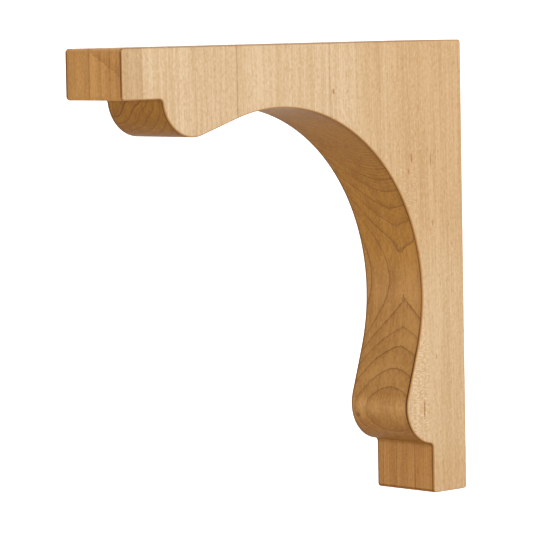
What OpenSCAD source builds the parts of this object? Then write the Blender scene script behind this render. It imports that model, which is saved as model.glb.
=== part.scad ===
// Wooden corbel bracket: a square-ended arm and leg joined by a quarter arch that runs out
// into a rounded lobe at each end. The blank is three boards glued edge to edge with their
// grain upright, and the outline is sawn through all of them at once.
//
// The back lies on the wall plane, y = 0, and the arm reaches out along -Y. The origin is the
// centre of the back face, with +Z up and the thickness along X.

/* [Overall] */
// Reach out from the wall
reach = 254; // [190:1:400]
// Height down the wall
height = 254; // [190:1:400]
// Thickness from side to side
thickness = 44.45; // [20:0.05:120]

/* [Square ends] */
// Height of the nose block at the tip of the arm
nose_h = 27; // [20:0.5:40]
// Length of the nose block, from its front to the side of its lobe
nose_l = 28; // [18:0.5:40]
// Depth of the foot block at the bottom of the leg, out from the wall
foot_d = 27; // [20:0.5:40]
// Height of the foot block, from its bottom to the side of its lobe
foot_h = 28; // [18:0.5:40]
// Radius that eases the outer corners of both blocks
corner_r = 2; // [0.5:0.25:5]

/* [Ogee] */
// Radius of the two lobes
lobe_r = 21.5; // [15:0.5:26]
// How far a lobe's centre is sunk behind the inner face of its block
lobe_sink = 1; // [0:0.25:4]
// Radius of the fillet between a lobe and its block
fillet_r = 2.5; // [1:0.25:4]
// Straight run between a lobe and the arch
run_l = 26; // [12:0.5:40]

/* [Arch] */
// Thickness of the arm above the crown of the arch
arm_t = 34; // [26:0.5:44]
// Thickness of the leg behind the arch
leg_t = 34; // [26:0.5:44]

/* [Boards] */
// Width of the board against the wall
wall_board_w = 104; // [60:0.5:110]
// Width of the middle board
middle_board_w = 69; // [30:0.5:72]

/* [Hidden] */
$fn = 96;

// A flat stretch of the arch shorter than this is no stretch at all
least_flat = 0.001;

// How far a cut runs on past the face that it starts from
overcut = 1;

// How far the end of a straight run is pushed into the curve that it touches, so that the
// two cross instead of only grazing
bite = 0.001;

// The outline is drawn in two dimensions, each point as [distance from the wall, drop from
// the top]. The foot end is drawn like the nose end and then mirrored across the diagonal,
// so what belongs to it has those two the other way round until it is swapped.
function swapped(p) = [p.y, p.x];

nose_lobe = [reach - nose_l - lobe_r, nose_h - lobe_sink];
foot_lobe = [height - foot_h - lobe_r, foot_d - lobe_sink];

// Radius of an arc that touches the inner face of the leg and the underside of the arm, and
// is joined to the lobe by one straight run along the line that touches both circles
function arc_fit(lobe, across, along) =
    let (a = lobe.x - across, b = along - lobe.y)
    let (m = a - b + lobe_r)
    m - sqrt(m * m - (a * a + b * b - lobe_r * lobe_r - run_l * run_l));

// The shorter end sets the radius, and the longer one has a flat stretch before its arc
arch_r = min(arc_fit(nose_lobe, leg_t, arm_t), arc_fit(foot_lobe, arm_t, leg_t));
arch_c = [leg_t + arch_r, arm_t + arch_r];

// Centre of the arc next to a lobe, level with the arch's own centre
function arc_centre(lobe, level) =
    [lobe.x - sqrt(pow(arch_r + lobe_r, 2) + run_l * run_l - pow(level - lobe.y, 2)), level];

nose_arc = arc_centre(nose_lobe, arch_c.y);
foot_arc = arc_centre(foot_lobe, arch_c.x);

// Direction from an arc's centre to the point where the straight run leaves the arc: the
// line between the centres, turned until its length along itself is the sum of both radii
function run_square(arc, lobe) =
    let (d = lobe - arc, sum = arch_r + lobe_r)
    [d.x * sum + d.y * run_l, d.y * sum - d.x * run_l] / (d * d);

function run_on_arc(arc, lobe) = arc + (arch_r - bite) * run_square(arc, lobe);
function run_on_lobe(arc, lobe) = lobe - (lobe_r - bite) * run_square(arc, lobe);

// Centre of the fillet that touches a lobe and the inner face of its block
function fillet_centre(lobe, block_t) =
    let (y = block_t + fillet_r)
    [lobe.x + sqrt(pow(lobe_r + fillet_r, 2) - pow(y - lobe.y, 2)), y];

// Distances from the wall to the two glue joints
first_joint = wall_board_w;
second_joint = wall_board_w + middle_board_w;

// The lobe at the end of the arm, with the wood that its fillet is cut from, rooted halfway
// into the block
module lobe_end(lobe, block_t) {
    centre = fillet_centre(lobe, block_t);
    translate(lobe) circle(lobe_r);
    polygon([[lobe.x, block_t / 2], [centre.x, block_t / 2], centre, lobe]);
}

// The waste that leaves the fillet between a lobe and its block
module fillet_waste(lobe, block_t) {
    translate(fillet_centre(lobe, block_t)) circle(fillet_r);
}

// The stretch of the arch's space between its corner and the arc next to a lobe
module arch_stretch(corner, arc) {
    if (arc.x - corner.x > least_flat) {
        translate(arc) circle(arch_r);
        translate([corner.x, corner.y - arch_r]) square([arc.x - corner.x, 2 * arch_r]);
    }
}

// The space under the arch
module arch_space() {
    translate(arch_c) circle(arch_r);
    arch_stretch(arch_c, nose_arc);
    mirror([1, -1]) arch_stretch(swapped(arch_c), foot_arc);
}

// What the arch is cut from: the corner of the bracket, out to the line of lobes and runs
module web() {
    polygon([
        [0, 0],
        [nose_lobe.x, 0],
        nose_lobe,
        run_on_lobe(nose_arc, nose_lobe),
        run_on_arc(nose_arc, nose_lobe),
        arch_c,
        swapped(run_on_arc(foot_arc, foot_lobe)),
        swapped(run_on_lobe(foot_arc, foot_lobe)),
        swapped(foot_lobe),
        [0, foot_lobe.x]
    ]);
}

// Turns what is drawn in the first quarter into the quarter that toward points into
module facing(toward) {
    mirror([toward.x < 0 ? 1 : 0, 0])
        mirror([0, toward.y < 0 ? 1 : 0])
            children();
}

// The waste round a square corner that is eased to a quarter circle, where toward points
// from the corner into the wood
module corner_waste(corner, toward) {
    translate(corner)
        facing(toward)
            difference() {
                translate([-overcut, -overcut]) square(corner_r + overcut);
                translate([corner_r, corner_r]) circle(corner_r);
            }
}

// The square blank's outline with both lobes and the web between them, before the curves and
// corners are cut
module uncut() {
    square([reach, nose_h]);
    square([foot_d, height]);
    lobe_end(nose_lobe, nose_h);
    mirror([1, -1]) lobe_end(foot_lobe, foot_d);
    difference() {
        web();
        arch_space();
    }
}

// The whole sawn outline
module outline() {
    difference() {
        uncut();
        fillet_waste(nose_lobe, nose_h);
        mirror([1, -1]) fillet_waste(foot_lobe, foot_d);
        corner_waste([reach, 0], [-1, 1]);
        corner_waste([reach, nose_h], [-1, -1]);
        corner_waste([foot_d, height], [-1, -1]);
        corner_waste([0, height], [1, -1]);
    }
}

// The part of the bracket between two distances from the wall, stood up against the wall
module board(from, to) {
    translate([0, 0, height / 2])
        rotate([-90, 0, -90])
            linear_extrude(thickness, center = true)
                intersection() {
                    outline();
                    translate([from, 0]) square([to - from, height]);
                }
}

// The board against the wall: the whole leg, its foot and lobe, and the root of the arm
module wall_board() {
    color([0.87, 0.73, 0.55]) board(0, first_joint);
}

// The middle board, with the crown of the arch
module middle_board() {
    color([0.90, 0.77, 0.60]) board(first_joint, second_joint);
}

// The board at the tip of the arm: the nose block and its lobe
module nose_board() {
    color([0.84, 0.69, 0.51]) board(second_joint, reach);
}

wall_board();
middle_board();
nose_board();
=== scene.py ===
"""A maple corbel bracket: three boards glued edge to edge, sawn to one outline and sanded.

Lengths are in metres and the frame is the CAD model's: the wall plane is y = 0, the arm
reaches out along -Y, +Z is up and X is the thickness. Outline points are written as
[distance from the wall, drop from the top].
"""

import bpy
import numpy as np
from mathutils import Matrix, Vector


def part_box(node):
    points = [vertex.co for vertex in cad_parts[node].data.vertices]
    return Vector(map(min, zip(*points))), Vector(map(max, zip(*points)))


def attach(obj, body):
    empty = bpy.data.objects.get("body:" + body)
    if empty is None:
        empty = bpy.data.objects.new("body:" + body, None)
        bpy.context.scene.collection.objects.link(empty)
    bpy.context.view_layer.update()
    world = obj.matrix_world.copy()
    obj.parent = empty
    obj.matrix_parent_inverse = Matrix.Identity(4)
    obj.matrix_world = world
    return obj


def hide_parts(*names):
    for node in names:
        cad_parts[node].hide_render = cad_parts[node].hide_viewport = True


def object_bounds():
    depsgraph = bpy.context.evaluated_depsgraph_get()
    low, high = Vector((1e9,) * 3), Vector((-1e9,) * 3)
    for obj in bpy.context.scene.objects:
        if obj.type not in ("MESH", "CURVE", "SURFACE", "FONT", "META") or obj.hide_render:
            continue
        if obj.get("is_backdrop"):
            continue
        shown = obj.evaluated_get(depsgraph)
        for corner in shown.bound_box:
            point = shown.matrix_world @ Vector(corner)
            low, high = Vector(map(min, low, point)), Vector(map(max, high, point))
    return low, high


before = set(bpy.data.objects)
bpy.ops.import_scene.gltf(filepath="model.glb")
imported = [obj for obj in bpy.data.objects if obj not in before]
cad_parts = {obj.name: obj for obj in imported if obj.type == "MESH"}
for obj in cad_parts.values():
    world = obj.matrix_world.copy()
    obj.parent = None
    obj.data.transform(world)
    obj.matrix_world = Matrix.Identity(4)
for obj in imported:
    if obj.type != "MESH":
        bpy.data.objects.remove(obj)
cad_low, cad_high = (np.array(corner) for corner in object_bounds())

# ---------------------------------------------------------------------------------------
# Wall board: the board against the wall, with the whole leg, its foot block and lobe, and the
# root of the arm. It is maple sawn close to the heart of the tree, planed on its sides and
# sanded along the sawn curve, with its edges eased.
# ---------------------------------------------------------------------------------------

mm = 0.001
reach = cad_high[1] - cad_low[1]
height = cad_high[2] - cad_low[2]
half_thickness = (cad_high[0] - cad_low[0]) / 2
first_joint = -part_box("wall_board")[0][1]
second_joint = -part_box("middle_board")[0][1]

# The two ends of the bracket are alike, so one set of sizes serves the nose and the foot
block_t = 27 * mm
block_l = 28 * mm
lobe_r = 21.5 * mm
lobe_sink = 1 * mm
fillet_r = 2.5 * mm
run_l = 26 * mm
arm_t = 34 * mm
back_corner_r = 1.5 * mm
end_corner_r = 2 * mm
edge_r = 0.85 * mm
end_edge_r = 0.6 * mm

# How many points each stretch of the sawn curve has
arch_points = 90
run_points = 16
lobe_points = 48
fillet_points = 14
block_points = 14


def arc(centre, radius, start, stop, count, hollow=False):
    """Points at equal angles on a circle, and the normals that point out of the wood: away
    from the centre on a lobe, and towards it in a hollow."""
    angle = np.linspace(start, stop, count)
    ray = np.stack([np.cos(angle), np.sin(angle)], axis=1)
    return centre + radius * ray, -ray if hollow else ray


def straight(start, stop, normal, count):
    """Points at equal steps on a line, all with the same normal."""
    share = np.linspace(0, 1, count)[:, None]
    return start + (stop - start) * share, np.tile(normal, (count, 1))


def half_curve():
    """The sawn curve from the middle of the arch to the end of the arm: the arch, the run
    that is tangent to arch and lobe, the lobe, its fillet, and the block's inner face. The
    arch touches the arm and the leg, and its radius makes the run exactly run_l long."""
    lobe = np.array([reach - block_l - lobe_r, block_t - lobe_sink])
    across, below = lobe[0] - arm_t, arm_t - lobe[1]
    middle = across - below + lobe_r
    arch_r = middle - np.sqrt(middle**2 - (across**2 + below**2 - lobe_r**2 - run_l**2))
    arch = np.full(2, arm_t + arch_r)
    apart, radii = lobe - arch, arch_r + lobe_r
    square = np.array([apart @ [radii, run_l], apart @ [-run_l, radii]]) / (apart @ apart)
    fillet_drop = block_t + fillet_r
    fillet_in = np.sqrt((lobe_r + fillet_r) ** 2 - (fillet_drop - lobe[1]) ** 2)
    fillet = np.array([lobe[0] + fillet_in, fillet_drop])
    to_back_corner, to_block = -0.75 * np.pi, 1.5 * np.pi
    to_run, from_run = np.arctan2(square[1], square[0]), np.arctan2(-square[1], -square[0])
    to_fillet = np.arctan2(fillet_drop - lobe[1], fillet_in)
    block_start, block_stop = np.array([[fillet[0], block_t], [reach - end_corner_r, block_t]])
    straight_down = [0.0, 1.0]
    pieces = [
        arc(arch, arch_r, to_back_corner, to_run, arch_points, hollow=True),
        straight(arch + arch_r * square, lobe - lobe_r * square, -square, run_points),
        arc(lobe, lobe_r, from_run, to_fillet, lobe_points),
        arc(fillet, fillet_r, np.pi + to_fillet, to_block, fillet_points, hollow=True),
        straight(block_start, block_stop, straight_down, block_points),
    ]
    points = np.concatenate([piece[0][:-1] for piece in pieces] + [pieces[-1][0][-1:]])
    normals = np.concatenate([piece[1][:-1] for piece in pieces] + [pieces[-1][1][-1:]])
    return points, normals, fillet[0]


half_points, half_normals, fillet_end = half_curve()
curve = np.concatenate([half_points[::-1], half_points[1:, ::-1]])
curve_normals = np.concatenate([half_normals[::-1], half_normals[1:, ::-1]])
curve_length = np.r_[0, np.cumsum(np.linalg.norm(np.diff(curve, axis=0), axis=1))]
curve_middle = curve_length[len(half_points) - 1]


def length_at(distance):
    """How far along the curve, from its nose end, the arm is that distance from the wall."""
    arm = curve_length <= curve_middle
    return np.interp(-distance, -curve[arm, 0], curve_length[arm])


# Every place on the sawn curve has a partner on the straight top or back. The partner's
# place, counted from the tip of the nose over the top and down the back, runs straight
# between the pairs that are fixed: the blocks, the two joints and the corner.
fixed_lengths = [0, length_at(fillet_end), length_at(second_joint), length_at(first_joint),
                 curve_middle, curve_length[-1] - length_at(fillet_end), curve_length[-1]]
fixed_partners = [end_corner_r, reach - fillet_end, reach - second_joint, reach - first_joint,
                  reach, height + fillet_end, reach + height - end_corner_r]


def outer_rail(partner):
    """Points and normals on the top and back, with the corner between them rounded."""
    top = reach - back_corner_r
    angle = np.clip((partner - top) / (2 * back_corner_r), 0, 1) * np.pi / 2
    normals = -np.stack([np.sin(angle), np.cos(angle)], axis=1)
    points = back_corner_r * (1 + normals)
    points[:, 0] += np.clip(top - partner, 0, None)
    points[:, 1] += np.clip(partner - reach - back_corner_r, 0, None)
    return points, normals


# Points across a face, round an edge and up a side. The side's first point lies just beside
# the edge, so that the shading of the edge stays on the edge.
across_points = 15
turn_points = 6
side_points = 22
beside_edge = 0.012
up_side = (0.06, 0.94)

# How sawn the top and back look, and how much their edges show as eased
outer_sawn = 0.75
outer_eased = 0.35


def section_loop():
    """The closed section of the bracket, as columns of numbers that hold for every place on
    the curve: the share of the way from the curve to its partner, how far the point is set
    in by the eased edge, its place across the thickness, and how sawn and how eased it is.
    The loop goes along the curve's face, up one side, back along the outer face and down
    the other side, with a quarter circle at each of the four edges."""
    flat = half_thickness - edge_r
    across = np.linspace(-flat, flat, across_points)
    turn = np.linspace(0, np.pi / 2, turn_points)[1:-1]
    up = np.r_[0, beside_edge, np.linspace(*up_side, side_points), 1 - beside_edge, 1]
    face = np.stack([0 * across, 0 * across, across, 0 * across + 1, 0 * across], axis=1)
    edge = np.stack([0 * turn, edge_r * (1 - np.cos(turn)), flat + edge_r * np.sin(turn),
                     np.cos(turn) ** 2, np.sin(2 * turn)], axis=1)
    side = np.stack([up, 0 * up + edge_r, 0 * up + half_thickness, 0 * up, 0 * up], axis=1)
    far_edge = edge[::-1] * [1, 1, 1, 1, outer_eased]
    far_edge[:, 0] = 1
    far_face = face[::-1] * [1, 1, 1, outer_sawn, 1]
    far_face[:, 0] = 1
    mirror = np.array([1, 1, -1, 1, 1])
    return np.concatenate([face, edge, side, far_edge, far_face, far_edge[::-1] * mirror,
                           side[::-1] * mirror, edge[::-1] * mirror])


loop = section_loop()

# Ribs round the back corner, points down the profile of a rounded end, the sizes of the rings
# that close an end, how much a closed end's edge shows as eased, and the decimals that tell
# two lengths along the curve apart
back_corner_ribs = 9
profile_points = 4
end_rings = (0.97, 0.8, 0.6, 0.4, 0.2)
end_eased = 0.5
decimals = 7


def closing(rib, outward, free):
    """Ribs from an end's last rib to its middle. A free end is first rounded, by a quarter
    circle in the profile and a smaller one at the sides; then rings shrink evenly. Each
    ring has how much of the end and of its eased edge it shows."""
    rings, shows = [], []
    middle = (rib.min(axis=0) + rib.max(axis=0)) / 2
    half = (rib.max(axis=0) - rib.min(axis=0)) / 2 + np.abs(outward)
    if free:
        plain = end_corner_r - end_edge_r
        turn = np.linspace(0, np.pi / 2, turn_points)[1:]
        slope = np.linspace(0, np.arcsin(plain / end_corner_r), profile_points)[1:]
        depths = np.r_[end_corner_r * np.sin(slope), plain + end_edge_r * np.sin(turn)]
        for depth, side_turn in zip(depths, np.r_[0 * slope, turn]):
            profile = end_corner_r - np.sqrt(max(end_corner_r**2 - depth**2, 0))
            ease = np.array([end_edge_r * (1 - np.cos(side_turn)), profile, profile])
            rings.append(middle + (rib - middle) * (1 - ease / half) + depth * outward)
            shows.append((np.sin(side_turn) ** 2, np.sin(2 * side_turn)))
        middle = middle + end_corner_r * outward
        rib = rings[-1]
    rings += [middle + (rib - middle) * size for size in end_rings]
    return rings, middle, shows + [(1, 0)] * len(end_rings)


def ribs_between(start, stop):
    """Sections of the bracket between two lengths along the curve, and how level the face is
    at each of their points. They stand on the curve like ribs, each between a point of the
    curve and its partner, and at a glue joint the rib lies in the joint's plane."""
    partners = np.interp(curve_length, fixed_lengths, fixed_partners)
    pace = np.interp(curve_middle, curve_length[1:], np.diff(partners) / np.diff(curve_length))
    by_corner = curve_middle + np.linspace(-1, 1, back_corner_ribs) * back_corner_r / pace
    places = np.unique(np.round(np.r_[start, curve_length, by_corner, stop], decimals))
    places = places[(places >= round(start, decimals)) & (places <= round(stop, decimals))]
    inner = np.stack([np.interp(places, curve_length, curve[:, k]) for k in (0, 1)], axis=1)
    inner_n = np.stack([np.interp(places, curve_length, curve_normals[:, k])
                        for k in (0, 1)], axis=1)
    inner_n /= np.linalg.norm(inner_n, axis=1)[:, None]
    outer, outer_n = outer_rail(np.interp(places, fixed_lengths, fixed_partners))
    inner_ease, outer_ease = -inner_n, -outer_n
    for end, length in ((0, start), (-1, stop)):
        if 0 < length < curve_length[-1]:
            inner_ease[end] = [0, -1 / inner_n[end, 1]]
    share, inset = loop[:, 0][None, :, None], loop[:, 1][None, :, None]
    ribs = ((1 - share) * (inner[:, None] + inner_ease[:, None] * inset)
            + share * (outer[:, None] + outer_ease[:, None] * inset))
    across = np.broadcast_to(loop[:, 2], ribs.shape[:2])[..., None]
    ribs = np.concatenate([across, -ribs[..., :1], cad_high[2] - ribs[..., 1:]], axis=2)
    level = np.where(loop[:, 0] < 0.5, np.abs(inner_n[:, 1:]), np.abs(outer_n[:, 1:]))
    return ribs, level


def board(name, start, stop):
    """The mesh of the bracket between two lengths along the curve: its ribs, joined each to
    the next, with both ends closed by smaller ribs and a middle point. Each point also has
    how sawn, how eased and how much like end grain it looks, from 0 to 1."""
    ribs, level = ribs_between(start, stop)
    down = stop == curve_length[-1]
    first, first_middle, first_shows = closing(ribs[0], np.array([0, -1.0, 0]), start == 0)
    last, last_middle, last_shows = closing(ribs[-1], np.array([0, 0, -1.0]), down)
    end_share, end_edge = np.array(first_shows[::-1] + [(0, 0)] * len(ribs)
                                   + last_shows).T[:, :, None]
    ribs = np.concatenate([first[::-1], ribs, last])
    count, around = ribs.shape[:2]
    corner = np.arange(count * around).reshape(count, around)
    turned = np.roll(corner, -1, axis=1)
    quads = np.stack([corner[:-1], corner[1:], turned[1:], turned[:-1]], axis=-1)
    poles = count * around + np.arange(2)
    fans = [np.stack([corner[0], turned[0], 0 * corner[0] + poles[0]], axis=1),
            np.stack([turned[-1], corner[-1], 0 * corner[0] + poles[1]], axis=1)]
    mesh = bpy.data.meshes.new(name)
    points = np.concatenate([ribs.reshape(-1, 3), [first_middle, last_middle]])
    mesh.from_pydata(points.tolist(), [], quads.reshape(-1, 4).tolist()
                     + fans[0].tolist() + fans[1].tolist())
    sawn = np.maximum(loop[:, 3], end_share)
    eased = np.maximum(loop[:, 4] * (1 - end_share), end_edge * end_eased)
    ended = np.concatenate([np.zeros((len(first), around)), level * loop[:, 3],
                            np.full((len(last), around), 1.0 * down)])
    for title, values in (("sawn", sawn), ("eased", eased), ("ended", ended)):
        attribute = mesh.attributes.new(title, "FLOAT", "POINT")
        attribute.data.foreach_set("value", np.r_[values.ravel(), values[0, :1],
                                                  values[-1, :1]].astype(np.float32))
    mesh.shade_smooth()
    piece = bpy.data.objects.new(name, mesh)
    bpy.context.scene.collection.objects.link(piece)
    return piece


class Wire:
    """A socket on its way through a shader. Arithmetic on it adds a Math node."""

    def __init__(self, finish, socket):
        self.finish, self.socket = finish, socket

    def math(self, operation, first, second=0.0):
        return self.finish.node("ShaderNodeMath", {"operation": operation},
                                {0: first, 1: second})

    def __add__(self, other):
        return self.math("ADD", self, other)

    def __sub__(self, other):
        return self.math("SUBTRACT", self, other)

    def __rsub__(self, other):
        return self.math("SUBTRACT", other, self)

    def __mul__(self, other):
        return self.math("MULTIPLY", self, other)

    def __truediv__(self, other):
        return self.math("DIVIDE", self, other)

    def __pow__(self, other):
        return self.math("POWER", self, other)

    def __abs__(self):
        return self.math("ABSOLUTE", self)

    def whole(self):
        return self.math("FLOOR", self)

    __radd__ = __add__
    __rmul__ = __mul__


class Finish:
    """A material under construction."""

    def __init__(self, name):
        self.material = bpy.data.materials.new(name)
        self.material.use_nodes = True
        self.tree = self.material.node_tree
        self.tree.nodes.clear()

    def node(self, kind, settings, sockets, output=0):
        """Adds a node: its settings first, then the values or links of its inputs."""
        made = self.tree.nodes.new(kind)
        for key, value in settings.items():
            setattr(made, key, value)
        for key, value in sockets.items():
            if isinstance(value, Wire):
                self.tree.links.new(value.socket, made.inputs[key])
            else:
                made.inputs[key].default_value = value
        return Wire(self, made.outputs[output]) if made.outputs else None

    def noise(self, place, size, stretch, detail=2.0, rough=0.5):
        """Soft noise from 0 to 1, with features of that size, drawn out along the grain."""
        where = self.node("ShaderNodeMapping", {}, {"Vector": place, "Scale": (
            1 / size, 1 / size, 1 / (size * stretch))})
        return self.node("ShaderNodeTexNoise", {}, {
            "Vector": where, "Scale": 1.0, "Detail": detail, "Roughness": rough})

    def ramp(self, value, low, high):
        """0 below low, 1 above high, and straight between."""
        return self.node("ShaderNodeMapRange", {}, {0: value, 1: low, 2: high})

    def smooth(self, value, low, high):
        """0 below low, 1 above high, and an easy curve between."""
        return self.node("ShaderNodeMapRange", {"interpolation_type": "SMOOTHSTEP"},
                         {0: value, 1: low, 2: high})

    def between(self, value, rise, fall):
        """0, up to 1 over the first stretch, and down to 0 again over the second."""
        return self.smooth(value, *rise) * (1 - self.smooth(value, *fall))

    def near(self, value, middle, inside, outside):
        """1 within one distance of a place, and down to 0 at the other distance."""
        return 1 - self.smooth(abs(value - middle), inside, outside)

    def sway(self, place, size, stretch, width, detail=2.0):
        """Soft noise that sways to both sides of nought, over no more than that width."""
        return (self.noise(place, size, stretch, detail) - 0.5) * width

    def fine_lines(self, distance, spacing, sharpness, strength):
        """Thin even lines: the part after the point of the distance counted in spacings, to
        a power that leaves only the end of each."""
        count = distance / spacing
        return (count - count.whole()) ** sharpness * strength

    def spot(self, x, out, drop, across, away, down, half_width, half_length, darkness):
        """A small mark, longer along the grain than across it, that fades at its edge."""
        reach_off = (((x - across) / half_width) ** 2 + ((out - away) / half_width) ** 2
                     + ((drop - down) / half_length) ** 2) ** 0.5
        return (1 - self.smooth(reach_off, 0.4, 1.0)) * darkness

    def tinted(self, colour, share, tint):
        """A colour multiplied by a tint, as far as the share says."""
        return self.node("ShaderNodeMix", {"data_type": "RGBA", "blend_type": "MULTIPLY"},
                         {0: share, 6: colour, 7: tint + (1,)}, output=2)

    def mix(self, share, first, second):
        """A colour between two colours."""
        return self.node("ShaderNodeMix", {"data_type": "RGBA"},
                         {0: share, 6: first, 7: second}, output=2)


def shade(colour, share):
    """A colour with each of its parts scaled."""
    return tuple(part * scale for part, scale in zip(colour, share)) + (1,)


sawn_light = (0.594, 0.305, 0.096)
sawn_dark = (0.408, 0.185, 0.047)
# End grain's deeper colour, made deeper still as painted shade on the faces that look down
end_grain_and_shade_share = (0.56, 0.47, 0.16)
ring_brown = (0.170, 0.060, 0.014, 1)
pitch_brown = (0.200, 0.060, 0.014, 1)
fleck_rust = (0.400, 0.170, 0.058, 1)
# Painted shadow: the near-black brown of the line of shade along the near edge of the wall
# board's sawn face, above the lower lobe
painted_shadow_brown = (0.085, 0.030, 0.006, 1)
edge_brown = (0.480, 0.215, 0.048, 1)
ray_white = (0.900, 0.730, 0.530, 1)
fleck_brown = (0.480, 0.230, 0.090, 1)

# Tints of the sawn face: painted light where it is palest, where hands have darkened it
# towards its edges, and where sanding has burnished it along them
painted_light_share = (1.08, 1.11, 1.24)
handled_share = (0.52, 0.43, 0.32)
burnished_share = (0.74, 0.70, 0.44)

# The level that the heart's place is counted from, and the step it is counted in
heart_level = 141 * mm
heart_step = 100 * mm

# The wood's textures: the size of their features across the grain, and how many times longer
# those are along it
wander_grain = (22 * mm, 2.5)
ripple_grain = (3 * mm, 1.2)
streak_grain = (1.0 * mm, 45)
band_grain = (4 * mm, 50)
cloud_grain = (30 * mm, 3)
mottle_grain = (6 * mm, 2.5)
grit_grain = (1.0 * mm, 2.0)
pore_grain = (1.1 * mm, 2.6)
glint_grain = (1.3 * mm, 2.2)

# How far a ring wanders and ripples off its circle, and the part of each year that is the
# dark line at its end: the higher the power, the thinner the line
ring_wander = 1.2 * mm
ring_ripple = 0.45 * mm
line_power = 16.0
summer_power = 2.0

# Between which values of its noise the tone deepens, a pore opens and a glint goes out
tone_noise = (0.42, 0.58)
pore_noise = (0.56, 0.74)
glint_noise = (0.24, 0.44)

# How strongly each mark shows on the planed sides and on the sawn face, and where a glue line
# and the darker edges of the sawn face start and end
line_on_side, pore_on_side, glint_on_side = 0.20, 0.40, 0.30
line_on_cut, pore_on_cut = 0.90, 0.12
handled_amount, burnished_amount = 0.30, 0.80
eased_amount = 0.85
glue_line = (0.15 * mm, 0.50 * mm)
handled_across = (16.5 * mm, 22 * mm)
burnished_across = (20.5 * mm, 21.2 * mm)


def maple(name, heart, rings, seams, side_colours, seed, golden_share=(1, 1, 1),
          tint_share=(1, 1, 1), character=None):
    """Maple as it is in the log, so that every face shows the cut that it really has. The
    heart is the middle of the tree: its place across the thickness and out from the wall,
    each as three terms in the drop from one level. A ring's colour deepens outwards to a
    thin dark line. Fibres, pores and rays are noise drawn out along Z. What is special to
    a board comes from its own function, as changes to the plain look."""
    finish = Finish(name)
    place = finish.node("ShaderNodeTexCoord", {}, {}, output="Object")
    x, y, z = (finish.node("ShaderNodeSeparateXYZ", {}, {"Vector": place}, output=k)
               for k in range(3))
    grain = finish.node("ShaderNodeVectorMath", {"operation": "ADD"},
                        {0: place, 1: (seed, 2 * seed, 3 * seed)})
    out, drop = 0 - y, cad_high[2] - z
    sawn, eased, ended = (
        finish.node("ShaderNodeAttribute", {"attribute_name": title}, {}, output="Fac")
        for title in ("sawn", "eased", "ended"))

    level = (drop - heart_level) / heart_step
    across, along = [value - (terms[0] + level * (terms[1] + level * terms[2]))
                     for value, terms in zip((x, out), heart)]
    distance = (across ** 2 + along ** 2) ** 0.5
    distance = (distance + finish.sway(grain, *wander_grain, ring_wander)
                + finish.sway(grain, *ripple_grain, ring_ripple))
    look = {"distance": distance, "marks": [], "rays": 0.0, "tint": 0.0, "painted_light": 0.0,
            "gold": 0.0, "clear": 1.0, "fine": 0.0}
    if character:
        look.update(character(finish, grain, x, out, drop, distance))

    # Years counted outwards from the heart, and the dark line at the end of each
    years = 0.0
    for inner, outer in zip(rings, rings[1:]):
        years = finish.ramp(look["distance"], inner, outer) + years
    year = years.whole()
    growth = years - year
    strength = finish.node("ShaderNodeTexWhiteNoise", {"noise_dimensions": "1D"},
                           {"W": year + seed})
    line = growth ** line_power * (0.65 + 0.35 * strength) * look["clear"] + look["fine"]
    summer = growth ** summer_power

    # Textures along the grain, and the glue lines
    streaks = finish.noise(grain, *streak_grain, detail=4, rough=0.6)
    bands = finish.noise(grain, *band_grain)
    cloud = finish.noise(grain, *cloud_grain)
    pores = finish.smooth(finish.noise(grain, *pore_grain), *pore_noise)
    glints = finish.smooth(finish.noise(grain, *glint_grain), *glint_noise)
    grit = finish.noise(grain, *grit_grain, detail=3, rough=0.65)
    tone = finish.smooth(streaks * 0.30 + bands * 0.22 + cloud * 0.12 + grit * 0.36,
                         *tone_noise)
    glue = 0.0
    for joint, darkness in seams:
        glue = (1 - finish.ramp(abs(out - joint), *glue_line)) * darkness + glue

    # The planed sides
    side = finish.mix(tone * 0.85 + summer * 0.15, *(colour + (1,) for colour in side_colours))
    side = finish.mix(line * line_on_side + pores * pore_on_side, side, fleck_brown)
    side = finish.mix((1 - glints) * glint_on_side + look["rays"], side, ray_white)

    # The sawn face, sanded and handled
    mottle = finish.sway(grain, *mottle_grain, 0.5)
    depth = (tone - 0.5) * 0.75 + 0.30 + mottle + summer * 0.25
    brown = finish.mix(depth, sawn_light + (1,), sawn_dark + (1,))
    gold = finish.mix(depth, shade(sawn_light, golden_share), shade(sawn_dark, golden_share))
    cut = finish.mix(look["gold"], brown, gold)
    # Painted light: the sawn face made paler and greyer on the run of the wall board
    cut = finish.tinted(cut, look["painted_light"], painted_light_share)
    # End grain darkens where the sawn face looks up or down; its tint and power are made
    # stronger than end grain alone, as painted shade under the arch and the lobes
    cut = finish.tinted(cut, ended ** 0.65, end_grain_and_shade_share)
    burnished = finish.smooth(abs(x), *burnished_across)
    handled = (finish.smooth(abs(x), *handled_across) * handled_amount
               + burnished * burnished_amount)
    cut = finish.tinted(cut, handled, handled_share)
    cut = finish.tinted(cut, burnished, burnished_share)
    cut = finish.mix(line * line_on_cut + pores * pore_on_cut, cut, ring_brown)

    # Both together, with the eased edges, the glue and the marks on top
    colour = finish.mix(sawn, side, cut)
    colour = finish.tinted(colour, look["tint"], tint_share)
    colour = finish.mix(eased * eased_amount, colour, edge_brown)
    colour = finish.mix(glue, colour, ring_brown)
    for mark, brown_of_mark in look["marks"]:
        colour = finish.mix(mark, colour, brown_of_mark)
    height_map = streaks * 0.5 + pores * -0.6 + line * -0.5 + glue * -0.5
    bump = finish.node("ShaderNodeBump", {}, {
        "Strength": 0.25, "Distance": 0.1 * mm, "Height": height_map})
    surface = finish.node("ShaderNodeBsdfPrincipled", {}, {
        "Base Color": colour, "Roughness": 0.42 + 0.14 * streaks + 0.08 * line,
        "Specular IOR Level": 0.16, "Normal": bump})
    finish.node("ShaderNodeOutputMaterial", {}, {"Surface": surface})
    return finish.material


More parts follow.
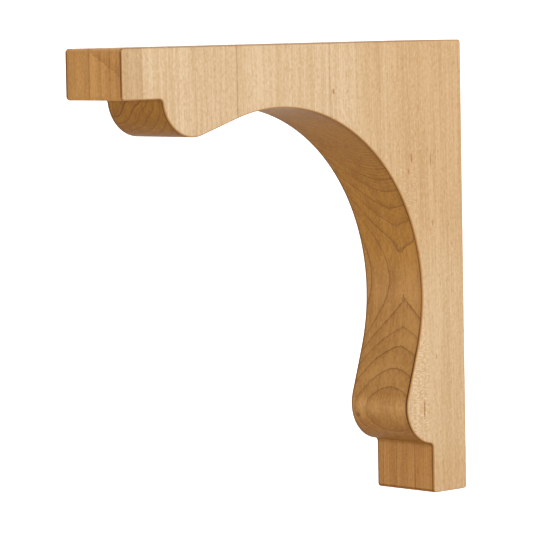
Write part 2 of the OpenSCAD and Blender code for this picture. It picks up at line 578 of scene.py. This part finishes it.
# Flecks on the near side and pitch spots on the sawn face: across, out, drop, half width,
# half length, darkness
near_side = half_thickness
fleck_spots = [
    (near_side, 33.8 * mm, 206.0 * mm, 0.9 * mm, 7.0 * mm, 0.80),
    (near_side, 36.8 * mm, 197.0 * mm, 0.7 * mm, 2.0 * mm, 0.40),
    (near_side, 23.4 * mm, 177.3 * mm, 0.7 * mm, 2.0 * mm, 0.45),
    (near_side, 41.2 * mm, 65.0 * mm, 0.8 * mm, 4.0 * mm, 0.85),
    (near_side, 43.6 * mm, 72.5 * mm, 0.8 * mm, 2.2 * mm, 0.80),
    (near_side, 26.0 * mm, 66.5 * mm, 0.7 * mm, 5.0 * mm, 0.75),
    (near_side, 24.9 * mm, 101.9 * mm, 0.7 * mm, 2.5 * mm, 0.65),
    (near_side, 101.3 * mm, 26.5 * mm, 1.0 * mm, 2.2 * mm, 0.80),
    (near_side, 5.8 * mm, 13.0 * mm, 1.0 * mm, 1.2 * mm, 0.40),
]
pitch_spots = [
    (-17.2 * mm, 46.6 * mm, 210.6 * mm, 1.5 * mm, 2.2 * mm, 0.80),
    (9.5 * mm, 27.0 * mm, 242.4 * mm, 0.9 * mm, 2.0 * mm, 0.40),
]

# Where the look of the board changes. Each stretch is where a change starts and where it is
# whole: of the drop from the top, unless its name says out, across or rings.
side_across = (21.3 * mm, 22 * mm)
point_across = 7.7 * mm
point_reach = 6 * mm
point_pull = 0.55 * mm
pulled_rings = (50 * mm, 62 * mm)
foot_top = (221 * mm, 226 * mm)
foot_out = (20 * mm, 25 * mm)
foot_edge_across = (19 * mm, 22 * mm)
foot_ring_slope = 0.44
foot_ring_middle = 58.5 * mm
# Where the painted shadow line lies: across the thickness, and in the drop
painted_shadow_across = (20.3 * mm, 20.9 * mm), (21.4 * mm, 21.9 * mm)
painted_shadow_drop = (150 * mm, 186 * mm), (212 * mm, 222 * mm)
ray_patches = [
    ((140 * mm, 175 * mm), (212 * mm, 228 * mm), 37 * mm, 1.0),
    ((55 * mm, 75 * mm), (95 * mm, 115 * mm), 44 * mm, 0.6),
]
ray_patch_half_width = (5 * mm, 9 * mm)
ray_grain = (2.8 * mm, 0.24)
ray_noise = (0.48, 0.68)
between_rays_noise = (0.36, 0.50)
deeper_out = (82 * mm, 87 * mm)
deepening_out = (25 * mm, 82 * mm)
pale_leg = (95 * mm, 140 * mm), (222 * mm, 240 * mm)
# Painted light on the run: where it rises to whole, and where it fades out again
painted_light_run = (150 * mm, 170 * mm), (196 * mm, 214 * mm)
# Painted shade under the lower lobe, from where it starts to where it is whole
shaded_lobe = (209 * mm, 219 * mm)
golden_end = (112 * mm, 142 * mm)
first_lines_rings = (27 * mm, 38 * mm)
fine_line_rings = (26 * mm, 36 * mm), (46 * mm, 53 * mm)
fine_line_end = (80 * mm, 100 * mm)
fine_line_spacing = 1.5 * mm


def wall_character(finish, grain, x, out, drop, distance):
    """What is special to this board: rings that are drawn to a ragged point where the pith
    rays pull on them, straight rings in the foot, pitch marks and flecks, and patches of
    rays on the sides, with the side's colour deepening to the wall. The sawn face is
    golden above the middle of the arch, palest on the run where light is painted, and
    darkest under the lobe where shade is painted, with a painted shadow line along its
    near edge above the lobe."""
    on_side = finish.smooth(abs(x), *side_across)
    ragged = finish.sway(grain, 1.6 * mm, 1.0, 1.4 * mm, detail=1)
    near_point = finish.near(x, point_across, 0.0, point_reach)
    distance = distance - near_point * finish.ramp(distance, *pulled_rings) * (
        point_pull + ragged)
    in_foot = (finish.smooth(drop, *foot_top) * finish.smooth(out, *foot_out)
               * (1 - finish.smooth(x, *foot_edge_across)))
    straight_rings = x * foot_ring_slope + (
        foot_ring_middle + finish.sway(grain, 9 * mm, 8, 2 * mm))
    distance = distance + in_foot * (straight_rings - distance)

    marks = [(finish.spot(x, out, drop, *mark), fleck_rust) for mark in fleck_spots]
    marks += [(finish.spot(x, out, drop, *mark), pitch_brown) for mark in pitch_spots]
    # A painted shadow: a dark line along the near edge of the sawn face, from the run down to
    # the lower lobe
    painted_shadow_line = finish.between(x, *painted_shadow_across) * finish.between(drop, *painted_shadow_drop)
    marks.append((painted_shadow_line * 0.85, painted_shadow_brown))

    patch = 0.0
    for rise, fall, away, amount in ray_patches:
        patch = (finish.between(drop, rise, fall) * amount
                 * finish.near(out, away, *ray_patch_half_width)) + patch
    flame = finish.noise(grain, *ray_grain, detail=1)
    rays = patch * finish.smooth(flame, *ray_noise) * 0.50
    between_rays = patch * (1 - finish.smooth(flame, *between_rays_noise)) * on_side

    deeper = ((1 - finish.smooth(out, *deeper_out)) * 0.55
              + (1 - finish.smooth(out, *deepening_out)) * 0.45)
    paler = finish.between(drop, *pale_leg)
    # Painted shade on the sawn face under the lower lobe, above the foot block
    painted_shade_under_lobe = finish.smooth(drop, *shaded_lobe) * (1 - on_side) * (1 - in_foot)
    tint = (on_side * deeper * (1 - 0.5 * paler) + in_foot * 0.8 + painted_shade_under_lobe
            + between_rays * 0.8)
    fine_from, fine_to = fine_line_rings
    fine = (finish.fine_lines(distance, fine_line_spacing, sharpness=6.0, strength=0.75)
            * finish.ramp(distance, *fine_from) * (1 - finish.ramp(distance, *fine_to))
            * (1 - finish.smooth(drop, *fine_line_end)))
    return {"distance": distance, "marks": marks, "rays": rays, "tint": tint, "fine": fine,
            "painted_light": finish.between(drop, *painted_light_run),
            "gold": 1 - finish.smooth(drop, *golden_end),
            "clear": finish.ramp(distance, *first_lines_rings) * (1 - 0.40 * in_foot)}


# Growth rings as distances from the heart: close to it, round the arch, and out to the wall
near_heart = [radius * mm for radius in (
    2, 8, 13, 17, 20, 22.5, 25, 27, 29, 31, 33, 34.8, 36.6, 38.4, 40.2)]
round_arch = [radius * mm for radius in (42.2, 46.9, 51.0, 55.7, 59.2, 62.2, 64.9, 69.2)]
to_wall = [round_arch[-1] + 2.6 * mm * step for step in range(1, 16)]
wall_rings = near_heart + round_arch + to_wall
wall_heart = [(9.6 * mm, -3.9 * mm, 2.4 * mm), (97.2 * mm, -9.1 * mm, -2.0 * mm)]

wall_sides = [(0.722, 0.529, 0.326), (0.598, 0.396, 0.209)]
wall_golden_share = (1.00, 0.95, 0.68)
wall_tint_share = (0.92, 0.84, 0.73)
first_joint_dark = 0.20
second_joint_dark = 0.30

wall_piece = board("wall_board_maple", length_at(first_joint), curve_length[-1])
wall_piece.data.materials.append(maple(
    "wall_maple", wall_heart, wall_rings, [(first_joint, first_joint_dark)], wall_sides,
    seed=1.7, golden_share=wall_golden_share, tint_share=wall_tint_share,
    character=wall_character))
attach(wall_piece, "root")
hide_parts("wall_board")

# ---------------------------------------------------------------------------------------
# Middle board: the crown of the arch. It is maple too, glued by its edges between the other
# two and sawn with them. It was cut well away from the heart of its tree, so its rings are
# nearly flat and run across the thickness.
# ---------------------------------------------------------------------------------------

middle_rings = [(60 + 2.6 * step) * mm for step in range(30)]
middle_heart = [(-20 * mm, 2 * mm, 0.0), (230 * mm, 3 * mm, 0.0)]
middle_piece = board("middle_board_maple", length_at(second_joint), length_at(first_joint))
middle_seams = [(first_joint, first_joint_dark), (second_joint, second_joint_dark)]
middle_piece.data.materials.append(maple(
    "middle_maple", middle_heart, middle_rings, middle_seams, wall_sides, seed=5.3))
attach(middle_piece, "root")
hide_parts("middle_board")

# ---------------------------------------------------------------------------------------
# Nose board: the tip of the arm, with the square nose block and the upper lobe. It is maple,
# glued to the middle board's edge. Its rings run slanting through the lobe, so they show as
# wavy bands round it.
# ---------------------------------------------------------------------------------------

nose_rings = [radius * mm for radius in (
    14, 22, 29, 35, 40, 44.5, 49, 53.6, 56.3, 58.8, 61.6, 64.8, 68.5, 72.5)]
nose_rings += [nose_rings[-1] + 3.3 * mm * step for step in range(1, 15)]
nose_heart = [(-19 * mm, 0.0, 0.0), (278 * mm, 0.0, 0.0)]
nose_sides = [(0.727, 0.540, 0.337), (0.603, 0.400, 0.213)]
nose_golden_share = (0.85, 0.77, 0.31)
nose_tint_share = (0.85, 0.78, 0.70)

# Where the look of the board changes, from where each change starts to where it is whole
nose_side_across = (20 * mm, 21.5 * mm)
front_out = (252 * mm, 253.5 * mm)
deep_rings = (55.9 * mm, 56.5 * mm)
joint_band_rings = (82.4 * mm, 83.2 * mm)
block_bottom = (24 * mm, 28 * mm)
wedge_top = 3.0 * mm
wedge_slope = 0.55
wedge_boundary = (-0.4 * mm, 0.4 * mm)
wedge_fading = (0.0, 6 * mm)
wedge_line = (0.1 * mm, 0.6 * mm)
dull_across = (7.5 * mm, 9.5 * mm)
lobe_wave_grain = (17 * mm, 0.8)
lobe_wave = 4 * mm
lobe_line_spacing = 1.7 * mm
lobe_line_grain = (9 * mm, 1.5)
lobe_line_noise = (0.40, 0.54)


def nose_character(finish, grain, x, out, drop, distance):
    """The block's sides are deeper in colour within one ring, and so is a band by the
    joint. The rings hardly show on the front, which has a darker wedge in its top near
    corner and a dull band along its near edge. The lobe is golden, with wavy rings."""
    sides = finish.smooth(abs(x), *nose_side_across)
    front = finish.smooth(out, *front_out)
    lobe = finish.smooth(drop, *block_bottom)
    deep = ((1 - finish.smooth(distance, *deep_rings))
            + finish.smooth(distance, *joint_band_rings) * 0.30) * sides
    ripple = finish.sway(grain, 3 * mm, 1.0, 3 * mm)
    above = x * wedge_slope - drop + (wedge_top + ripple * 2)
    wedge = finish.smooth(above, *wedge_boundary) * (
        1 - 0.7 * finish.smooth(above, *wedge_fading))
    wedge_edge = front * finish.near(above, 0.0, *wedge_line) * 0.28
    dull = finish.smooth(x + ripple, *dull_across) * 0.30
    distance = distance + finish.sway(grain, *lobe_wave_grain, lobe_wave, detail=0) * lobe
    fine = (finish.fine_lines(distance, lobe_line_spacing, sharpness=5.0, strength=0.55)
            * lobe * (1 - sides)
            * finish.smooth(finish.noise(grain, *lobe_line_grain, detail=0), *lobe_line_noise))
    return {"distance": distance, "tint": deep + front * (wedge + dull), "gold": lobe,
            "clear": 1 - 0.72 * front + 0.7 * lobe, "fine": wedge_edge + fine}


nose_piece = board("nose_board_maple", 0, length_at(second_joint))
nose_piece.data.materials.append(maple(
    "nose_maple", nose_heart, nose_rings, [(second_joint, second_joint_dark)], nose_sides,
    seed=9.1, golden_share=nose_golden_share, tint_share=nose_tint_share,
    character=nose_character))
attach(nose_piece, "root")
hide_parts("nose_board")

# ---------------------------------------------------------------------------------------
# Studio: a pale floor that curves up into a backdrop, one large soft light on the side of
# the bracket, weaker ones in front and above, and the camera.
# ---------------------------------------------------------------------------------------

floor_drop = 0.45
floor_front = -8
sweep_r = 1.2
back_away = 3.2
backdrop_top = 7
half_width = 6.0
sweep_points = 24

camera_place = Vector((1.33831, -1.41397, 0.14052))
camera_right = Vector((0.6924, 0.7213, -0.0190))
camera_up = Vector((-0.0390, 0.0636, 0.9972))
sensor_width_mm = 36
lens_mm = 231.2146

camera_data = bpy.data.cameras.new("camera")
camera_data.sensor_width = sensor_width_mm
camera_data.lens = lens_mm
camera = bpy.data.objects.new("camera", camera_data)
camera_back = camera_right.cross(camera_up).normalized()
camera_turn = Matrix((camera_right, camera_up, camera_back)).transposed()
camera.matrix_world = Matrix.Translation(camera_place) @ camera_turn.to_4x4()
bpy.context.scene.collection.objects.link(camera)
bpy.context.scene.camera = camera


def backdrop():
    """A floor that runs level under the bracket and then sweeps up behind it, away from
    the camera: a profile of a flat stretch, a quarter circle and a wall, drawn sideways."""
    angle = np.linspace(0, np.pi / 2, sweep_points)
    run = np.r_[floor_front, back_away + sweep_r * np.sin(angle), back_away + sweep_r]
    rise = np.r_[0, sweep_r * (1 - np.cos(angle)), backdrop_top]
    aside = np.linspace(-half_width, half_width, 3)
    away = -np.array([camera_back.x, camera_back.y])
    away /= np.linalg.norm(away)
    along = np.array([-away[1], away[0]])
    flat = run[:, None, None] * away + aside[None, :, None] * along
    tall = np.broadcast_to(rise[:, None, None], flat.shape[:2] + (1,))
    points = np.concatenate([flat, tall + cad_low[2] - floor_drop], axis=2)
    count, wide = points.shape[:2]
    corner = np.arange(count * wide).reshape(count, wide)
    faces = np.stack([corner[:-1, 1:], corner[1:, 1:], corner[1:, :-1], corner[:-1, :-1]],
                     axis=-1)
    mesh = bpy.data.meshes.new("floor")
    mesh.from_pydata(points.reshape(-1, 3).tolist(), [], faces.reshape(-1, 4).tolist())
    mesh.shade_smooth()
    floor = bpy.data.objects.new("floor", mesh)
    bpy.context.scene.collection.objects.link(floor)
    return floor


# The paper glows only well away from the bracket, so that it lights nothing from below
black, white = (0, 0, 0, 1), (1, 1, 1, 1)
paper_white = (0.8, 0.8, 0.8, 1)
glow_starts, glow_whole = 1.0, 2.6

floor = backdrop()
paper = Finish("pale_paper")
spot = paper.node("ShaderNodeTexCoord", {}, {}, output="Object")
from_bracket = paper.node("ShaderNodeVectorMath", {"operation": "LENGTH"}, {0: spot},
                          output="Value")
glow = paper.mix(paper.smooth(from_bracket, glow_starts, glow_whole), black, white)
paper_surface = paper.node("ShaderNodeBsdfPrincipled", {}, {
    "Base Color": paper_white, "Roughness": 0.9,
    "Emission Color": glow, "Emission Strength": 0.8})
paper.node("ShaderNodeOutputMaterial", {}, {"Surface": paper_surface})
floor.data.materials.append(paper.material)
floor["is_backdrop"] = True

lit_point = Vector((0, -0.12, 0))
sky_strength = 0.36


def soft_light(name, place, size, power):
    """A square area light that faces the bracket."""
    data = bpy.data.lights.new(name, "AREA")
    data.size = size
    data.energy = power
    light = bpy.data.objects.new(name, data)
    light.location = place
    light.rotation_euler = (lit_point - Vector(place)).to_track_quat("-Z", "Y").to_euler()
    bpy.context.scene.collection.objects.link(light)


soft_light("side_light", (2.2, -0.1, 0.9), size=1.6, power=24)
soft_light("front_light", (0.3, -2.4, 0.7), size=1.8, power=14.5)
soft_light("top_light", (0.2, 0.3, 2.4), size=2.0, power=24)

world = bpy.data.worlds.new("studio")
world.use_nodes = True
sky = world.node_tree.nodes["Background"]
sky.inputs["Color"].default_value = white
sky.inputs["Strength"].default_value = sky_strength
bpy.context.scene.world = world
bpy.context.scene.view_settings.view_transform = "Standard"
